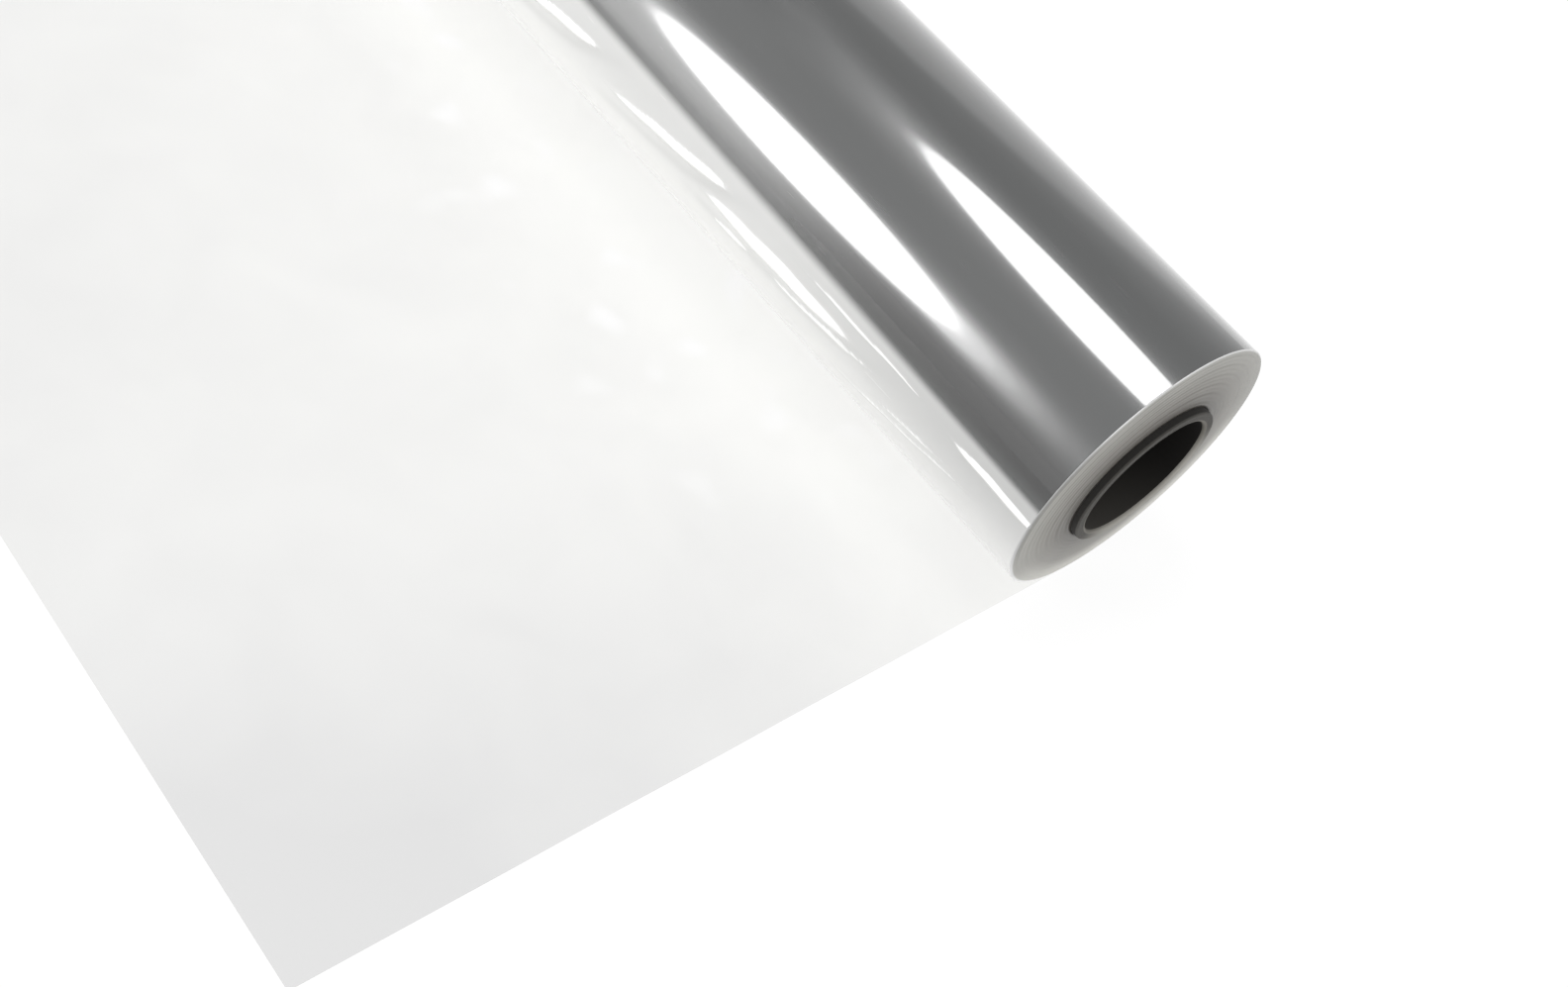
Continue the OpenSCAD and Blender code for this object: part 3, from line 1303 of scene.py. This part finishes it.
@dataclass
class Studio:
    """White floor, even soft light, two oval softboxes and the photo's camera."""

    sizes: RollSizes
    floor_drop: float = 0.1 * MM
    floor_half: float = 3.0
    floor_colour: str = "#F0F0F0"
    shadow_share: float = 0.12
    floor_glow: float = 1.05
    sky_light: float = 0.7
    ceiling_dim: float = 0.67
    ceiling_fade: float = 0.95
    ceiling_slant: float = -1.5
    ceiling_span: Span = (0.33, 1.53)
    ceiling_stops: tuple[float, ...] = (0.08, 0.3, 0.82, 0.9)
    # The camera's turns in degrees, and its place from the near end in radii of the roll
    azimuth: float = 29.37
    elevation: float = 45.22
    roll: float = 27.90
    lens: float = 41.12
    camera_place: Triple = (2.573, -8.328, 6.968)
    # Where each lamp's highlight falls, from the near end, and where the lamp stands from there
    side_spot: Triple = (-78 * MM, -26.4 * MM, 14.2 * MM)
    side_offset: Triple = (-0.366, -0.687, 0.187)
    top_spot: Triple = (-18 * MM, -13.8 * MM, 26.7 * MM)
    top_offset: Triple = (-0.760, -0.147, 2.380)
    halo_offset: Triple = (0.0, -0.06, 0.0)
    # Width, height and radiance of each oval, after its lift in the tail
    side_oval: Triple = (0.268, 0.392, 8.0)
    side_halo: Triple = (0.288, 0.445, 1.2)
    top_oval: Triple = (1.176, 0.74, 8.0)
    top_halo: Triple = (1.20, 0.80, 1.0)
    tail_reach: float = 0.10
    tail_slant: float = -0.055
    tail_parts: tuple[tuple[float, float, float, float], ...] = (
        (0.050, 0.33, 0.44, 0.12),
        (0.045, 0.27, 0.40, 0.15),
        (0.040, 0.23, 0.37, 0.4),
        (0.035, 0.19, 0.33, 0.6),
        (0.030, 0.15, 0.28, 1.1),
        (0.020, 0.11, 0.24, 1.4),
    )

    def seen(self, add: Adder) -> bpy.types.NodeSocket:
        """Adds nodes that tell the camera's, glossy and transmission rays from the rest.

        Args:
            add: What adds a node to the tree.

        Returns:
            A socket that is 1 for those rays and 0 for the others.
        """
        path = add("ShaderNodeLightPath")
        first = add(
            "ShaderNodeMath", {"operation": "MAXIMUM"},
            {0: path.outputs["Is Camera Ray"], 1: path.outputs["Is Glossy Ray"]},
        )
        both = add(
            "ShaderNodeMath", {"operation": "MAXIMUM"}, {0: first, 1: path.outputs["Is Transmission Ray"]}
        )
        return both.outputs["Value"]

    def floor(self) -> None:
        """Adds the floor.

        It is white where it is seen, with a faint shadow under the roll.
        """
        material, add = new_material("studio_floor")
        share = add(
            "ShaderNodeMath", {"operation": "MULTIPLY", 1: 1 - self.shadow_share}, {0: self.seen(add)}
        )
        paint = add("ShaderNodeBsdfDiffuse", {"Color": linear_colour(self.floor_colour)})
        glow = add("ShaderNodeEmission", {"Strength": self.floor_glow})
        mixed = add("ShaderNodeMixShader", None, {0: share, 1: paint, 2: glow})
        add("ShaderNodeOutputMaterial", None, {"Surface": mixed})
        half = self.floor_half
        z = -self.floor_drop
        mesh = bpy.data.meshes.new("floor")
        corners = [(-half, -half, z), (half, -half, z), (half, half, z), (-half, half, z)]
        mesh.from_pydata(corners, [], [(0, 1, 2, 3)])
        mesh.materials.append(material)
        floor = bpy.data.objects.new("floor", mesh)
        bpy.context.scene.collection.objects.link(floor)

    def world(self) -> None:
        """Adds an even white surround that lights the roll softly.

        In what the film mirrors, the stretch of ceiling behind the top lamp is a little dimmer.
        """
        world = bpy.data.worlds.new("studio_surround")
        bpy.context.scene.world = world
        world.use_nodes = True
        world.node_tree.nodes.clear()
        add = partial(add_node, world.node_tree)
        strength = add(
            "ShaderNodeMapRange", {"To Min": self.sky_light, "To Max": 1.0}, {"Value": self.seen(add)}
        )
        path = add("ShaderNodeLightPath")
        place = add("ShaderNodeTexCoord").outputs["Generated"]
        axes = add("ShaderNodeSeparateXYZ", None, {0: place})
        slant = add(
            "ShaderNodeMath", {"operation": "MULTIPLY_ADD", 1: self.ceiling_slant},
            {0: axes.outputs["X"], 2: axes.outputs["Y"]},
        )
        across = add(
            "ShaderNodeMapRange", {"From Min": self.ceiling_span[0], "From Max": self.ceiling_span[1]},
            {0: slant},
        )
        ceiling = add("ShaderNodeValToRGB", None, {"Fac": across})
        dim = self.ceiling_dim
        ceiling.color_ramp.interpolation = "EASE"
        ceiling.color_ramp.elements[0].color = (1, 1, 1, 1)
        ceiling.color_ramp.elements[1].color = (1, 1, 1, 1)
        for stop, tone in zip(self.ceiling_stops, (1.0, dim, dim * self.ceiling_fade, 1.0)):
            ceiling.color_ramp.elements.new(stop).color = (tone, tone, tone, 1)
        mirrored = add("ShaderNodeMix", {2: 1.0}, {0: path.outputs["Is Glossy Ray"], 3: ceiling})
        level = add("ShaderNodeMath", {"operation": "MULTIPLY"}, {0: strength, 1: mirrored})
        white = add("ShaderNodeBackground", None, {"Strength": level})
        white.inputs["Color"].default_value = linear_colour("#FFFFFF")
        add("ShaderNodeOutputWorld", None, {"Surface": white})

    def lamps(self) -> None:
        """Adds the two softboxes whose long highlights lie along the roll.

        Each has a dimmer halo, and the side one a tail of dim ovals, so that the highlights fade out.
        """
        side_aim = shifted(self.sizes.near_middle, self.side_spot)
        top_aim = shifted(self.sizes.near_middle, self.top_spot)
        side = shifted(side_aim, self.side_offset)
        top = shifted(top_aim, self.top_offset)
        Softbox("side_softbox", side, side_aim, *self.side_oval).build()
        Softbox("side_halo", side, side_aim, *self.side_halo).build()
        for number, (lift, *oval) in enumerate(self.tail_parts):
            tail = shifted(side, (self.tail_reach, self.tail_slant, lift))
            Softbox(f"side_tail_{number + 1}", tail, side_aim, *oval).build()
        Softbox("top_softbox", top, top_aim, *self.top_oval).build()
        Softbox("top_halo", shifted(top, self.halo_offset), top_aim, *self.top_halo).build()

    def camera(self) -> None:
        """Adds the camera at the photo's viewing angle.

        Its place is given in radii of the roll, from the roll's near end.
        """
        data = bpy.data.cameras.new("camera")
        data.sensor_width = 36.0
        data.lens = self.lens
        data.clip_start = 0.01
        data.clip_end = 50.0
        camera = bpy.data.objects.new("camera", data)
        bpy.context.scene.collection.objects.link(camera)
        turn = (
            Matrix.Rotation(math.radians(self.azimuth), 4, "Z")
            @ Matrix.Rotation(math.radians(90 - self.elevation), 4, "X")
            @ Matrix.Rotation(math.radians(self.roll), 4, "Z")
        )
        offset = tuple(self.sizes.radius * part for part in self.camera_place)
        place = Vector(shifted(self.sizes.near_middle, offset))
        camera.matrix_world = Matrix.Translation(place) @ turn
        bpy.context.scene.camera = camera

    def build(self) -> None:
        """Sets up the whole studio.

        The colours are shown as they are worked out, with the plain view transform.
        """
        self.floor()
        self.world()
        self.lamps()
        self.camera()
        bpy.context.scene.view_settings.view_transform = "Standard"


def main() -> None:
    """Builds every piece and the studio round them.

    Each piece is reported in the log with its number of faces.
    """
    logging.basicConfig(level=logging.INFO, format="%(message)s")
    sizes = RollSizes.from_frame(frame["record"])
    Studio(sizes).build()
    for maker in (BoardTube(sizes), WoundTurns(sizes), DrawnLeaf(sizes)):
        piece = maker.build()
        LOG.info("%s: %d faces", piece.name, len(piece.data.polygons))


if __name__ == "__main__":
    main()
